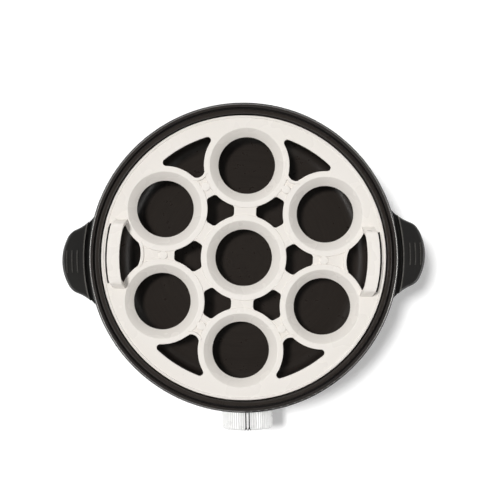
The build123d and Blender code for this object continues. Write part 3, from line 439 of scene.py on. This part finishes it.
surfaces = {
    "steel": steel(),
    "black_plastic": black_plastic(),
    "rim_plastic": moulded(
        "rim_plastic", rgb(45, 41, 38), rgb(39, 35, 33), gloss=0.36, grain=1700, depth=0.00002, shine=0.35
    ),
    "bowl_coating": bowl_coating(),
    "white_plastic": white_plastic(),
    "silver_plastic": silver_plastic(),
    "red_lens": red_lens(),
    "lamp_glass": lamp_glass(),
}
for slot, look in plain_mouldings.items():
    surfaces[slot] = moulded(slot, *look)
for slot, look in plain_metals.items():
    surfaces[slot] = plated(slot, *look)


def dress(obj, slot):
    """Give an object the finish of a slot."""
    obj.data.materials.clear()
    obj.data.materials.append(surfaces[slot].material)


def placed(name, mesh, body, slot):
    """New piece of the object, finished as its slot and riding on a body."""
    piece = bpy.data.objects.new(name, mesh)
    bpy.context.collection.objects.link(piece)
    dress(piece, slot)
    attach(piece, body)
    return piece


def roomy(edges, room):
    """The edges of a list that no other of its edges runs beside within a given room."""
    points = []
    for number, edge in enumerate(edges):
        start, end = (vertex.co for vertex in edge.verts)
        steps = max(2, round(2 * edge.calc_length() / room))
        points += [(start.lerp(end, step / steps), number) for step in range(steps + 1)]
    tree = KDTree(len(points))
    for place, (point, _) in enumerate(points):
        tree.insert(point, place)
    tree.balance()
    narrow = set()
    for point, number in points:
        edge = edges[number]
        along = (edge.verts[1].co - edge.verts[0].co).normalized()
        for other_point, place, _ in tree.find_range(point, room):
            other = edges[points[place][1]]
            offset = other_point - point
            aside = (offset - along * offset.dot(along)).length
            beside = aside > beside_share * offset.length + weld_distance
            shared = set(edge.verts) & set(other.verts)
            if other is not edge and not shared and beside:
                narrow.add(number)
            if len(shared) == 1:
                corner = shared.pop()
                first = edge.other_vert(corner).co - corner.co
                second = other.other_vert(corner).co - corner.co
                if first.angle(second) < tight_angle:
                    narrow.add(number)
    return [edge for number, edge in enumerate(edges) if number not in narrow]


def rounded(node_name, body, width):
    """Copy of a solid with its sharp edges rounded, shown in the solid's place."""
    mesh = nodes[node_name].data.copy()
    mesh.name = node_name + "_rounded"
    work = bmesh.new()
    work.from_mesh(mesh)
    bmesh.ops.remove_doubles(work, verts=work.verts, dist=weld_distance)
    bmesh.ops.join_triangles(
        work, faces=work.faces, angle_face_threshold=flat_angle, angle_shape_threshold=pi
    )
    edges = [edge for edge in work.edges if edge.is_manifold and edge.calc_face_angle(0) > sharp_angle]
    strips = bmesh.ops.bevel(
        work,
        geom=roomy(edges, 2 * width),
        offset=width,
        offset_type="OFFSET",
        segments=rounding_segments,
        profile=0.5,
        affect="EDGES",
        clamp_overlap=False,
        loop_slide=True,
    )
    work.normal_update()
    strip_faces = set(strips["faces"])
    normals = []
    for face in work.faces:
        face.smooth = True
        limit = blend_angle if face in strip_faces else sharp_angle
        for corner in face.loops:
            touching = corner.vert.link_faces
            near = [other for other in touching if other.normal.angle(face.normal, 0) < limit]
            plain = [other for other in near if other not in strip_faces]
            lean = Vector((0, 0, 0))
            for other in plain or near:
                lean += other.normal * other.calc_area()
            normals.append(lean.normalized())
    work.to_mesh(mesh)
    work.free()
    mesh.normals_split_custom_set(normals)
    piece = placed(node_name + "_rounded", mesh, body, slot_of[node_name])
    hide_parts(node_name)


# Every solid takes the finish of its slot in the record
slot_of = {part["node"]: part["material_slot"] for part in frame["record"]["subparts"]}
for node_name, slot in slot_of.items():
    dress(nodes[node_name], slot)

rounded("egg_tray", "tray", tray_edge)
rounded("handle_right", "housing", handle_edge)
rounded("handle_left", "housing", handle_edge)
rounded("rim_ring", "housing", rim_edge)
rounded("heating_bowl", "housing", rim_edge)


# Buttons on the bridges between the outer seats, with rounded edges and slightly domed tops
def tray_buttons():
    profile = [(button_radius, button_base_z)]
    for step in range(button_edge_steps + 1):
        lean = pi / 2 * step / button_edge_steps
        radius = button_radius - button_edge + button_edge * cos(lean)
        profile.append((radius, button_top_z - button_edge + button_edge * sin(lean)))
    turns = [2 * pi * side / button_sides for side in range(button_sides)]
    work = bmesh.new()
    for place in range(button_count):
        angle = radians(360 / button_count * place + tray_turn)
        middle = Vector((cos(angle), sin(angle), 0)) * button_circle_radius
        rings = []
        for radius, z in profile:
            corners = [middle + Vector((radius * cos(turn), radius * sin(turn), z)) for turn in turns]
            rings.append([work.verts.new(corner) for corner in corners])
        top = work.verts.new(middle + Vector((0, 0, button_top_z + button_dome)))
        for side in range(button_sides):
            after = (side + 1) % button_sides
            for lower, upper in zip(rings, rings[1:]):
                work.faces.new((lower[side], lower[after], upper[after], upper[side]))
            work.faces.new((rings[-1][side], rings[-1][after], top))
    for face in work.faces:
        face.smooth = True
    mesh = bpy.data.meshes.new("tray_buttons")
    work.to_mesh(mesh)
    work.free()
    placed("tray_buttons", mesh, "tray", "white_plastic")


tray_buttons()


# Dial marks: raised strokes with sloped sides, around the knob
def dial_marks():
    work = bmesh.new()
    for step in range(tick_steps + 1):
        angle = radians(tick_sweep * (step / tick_steps - 0.5))
        length = tick_length if step % tick_long_every else tick_long
        outwards = Vector((sin(angle), 0, cos(angle)))
        aside = Vector((cos(angle), 0, -sin(angle)))
        middle = Vector((0, dial_face_y, knob_axis_z)) + outwards * (tick_outer_radius - length / 2)
        loops = []
        for rise, inset in ((0, 0), (tick_height, tick_slope)):
            half_width = tick_width / 2 - inset
            half_length = length / 2 - inset
            loop = []
            for along, across in ((-1, -1), (-1, 1), (1, 1), (1, -1)):
                place = middle + outwards * along * half_length + aside * across * half_width
                loop.append(work.verts.new(place - Vector((0, rise, 0))))
            loops.append(loop)
        base, top = loops
        work.faces.new(top)
        for corner in range(len(base)):
            after = (corner + 1) % len(base)
            work.faces.new((base[corner], base[after], top[after], top[corner]))
    bmesh.ops.recalc_face_normals(work, faces=work.faces)
    mesh = bpy.data.meshes.new("dial_marks")
    work.to_mesh(mesh)
    work.free()
    placed("dial_marks", mesh, "housing", "white_plastic")


dial_marks()

# Floor of white paper
floor_mesh = bpy.data.meshes.new("floor")
half = floor_size / 2
floor_corners = [(-half, -half, 0), (half, -half, 0), (half, half, 0), (-half, half, 0)]
floor_mesh.from_pydata(floor_corners, [], [(0, 1, 2, 3)])
floor = bpy.data.objects.new("floor", floor_mesh)
bpy.context.collection.objects.link(floor)
paper = Surface("floor", roughness=0.9, shine=0.0)
paper.colour(paper.mix(paper.noise(scale=40), rgb(243, 243, 243), rgb(244, 244, 244)))
rays = paper.node("ShaderNodeLightPath").outputs
seen = paper.math("MAXIMUM", rays["Is Camera Ray"], rays["Is Glossy Ray"])
seen = paper.math("MAXIMUM", seen, rays["Is Transmission Ray"])
paper.shader.inputs["Emission Color"].default_value = (1, 1, 1, 1)
paper.feed(paper.shader.inputs["Emission Strength"], paper.product(seen, floor_lift))
floor_mesh.materials.append(paper.material)

# Surroundings: bright walls that fade into a darker ceiling
world = bpy.data.worlds.new("studio")
bpy.context.scene.world = world
world.use_nodes = True
sky = world.node_tree
direction = sky.nodes.new("ShaderNodeTexCoord")
heading = sky.nodes.new("ShaderNodeSeparateXYZ")
sky.links.new(direction.outputs["Generated"], heading.inputs[0])
level = sky.nodes.new("ShaderNodeMapRange")
level.interpolation_type = "SMOOTHSTEP"
level.inputs["From Min"].default_value = wall_top
level.inputs["From Max"].default_value = ceiling_edge
level.inputs["To Min"].default_value = wall_light
level.inputs["To Max"].default_value = overhead_light
sky.links.new(heading.outputs["Z"], level.inputs["Value"])
sky.links.new(level.outputs["Result"], sky.nodes["Background"].inputs["Strength"])
sky.nodes["Background"].inputs["Color"].default_value = (1, 1, 1, 1)


def lamp(name, kind, azimuth, run, rise):
    """New lamp on the side of an azimuth in degrees, out by run and up by rise, shining at the origin."""
    side = radians(azimuth)
    place = Vector((run * cos(side), run * sin(side), rise))
    new_lamp = bpy.data.objects.new(name, bpy.data.lights.new(name, kind))
    new_lamp.location = place
    new_lamp.rotation_euler = (-place).to_track_quat("-Z", "Y").to_euler()
    bpy.context.collection.objects.link(new_lamp)
    return new_lamp


# Key light, which throws the soft shadow
key = lamp("key", "SUN", key_azimuth, key_slope, 1)
key.data.energy = key_strength
key.data.angle = radians(key_softness)
key.visible_glossy = False

# Panels on both sides, which show only on glossy surfaces
for azimuth in gleam_azimuths:
    run = gleam_distance * sin(radians(gleam_lean))
    rise = gleam_distance * cos(radians(gleam_lean))
    gleam = lamp("gleam", "AREA", azimuth, run, rise)
    gleam.data.shape = "RECTANGLE"
    gleam.data.size = gleam_width
    gleam.data.size_y = gleam_height
    gleam.data.energy = gleam_power
    gleam.visible_diffuse = False
    gleam.visible_camera = False

camera_data = bpy.data.cameras.new("camera")
camera_data.angle = radians(camera_angle)
camera = bpy.data.objects.new("camera", camera_data)
camera.location = camera_place
camera.rotation_euler = (0, 0, radians(camera_turn))
bpy.context.collection.objects.link(camera)
scene = bpy.context.scene
scene.camera = camera
scene.view_settings.view_transform = "Standard"
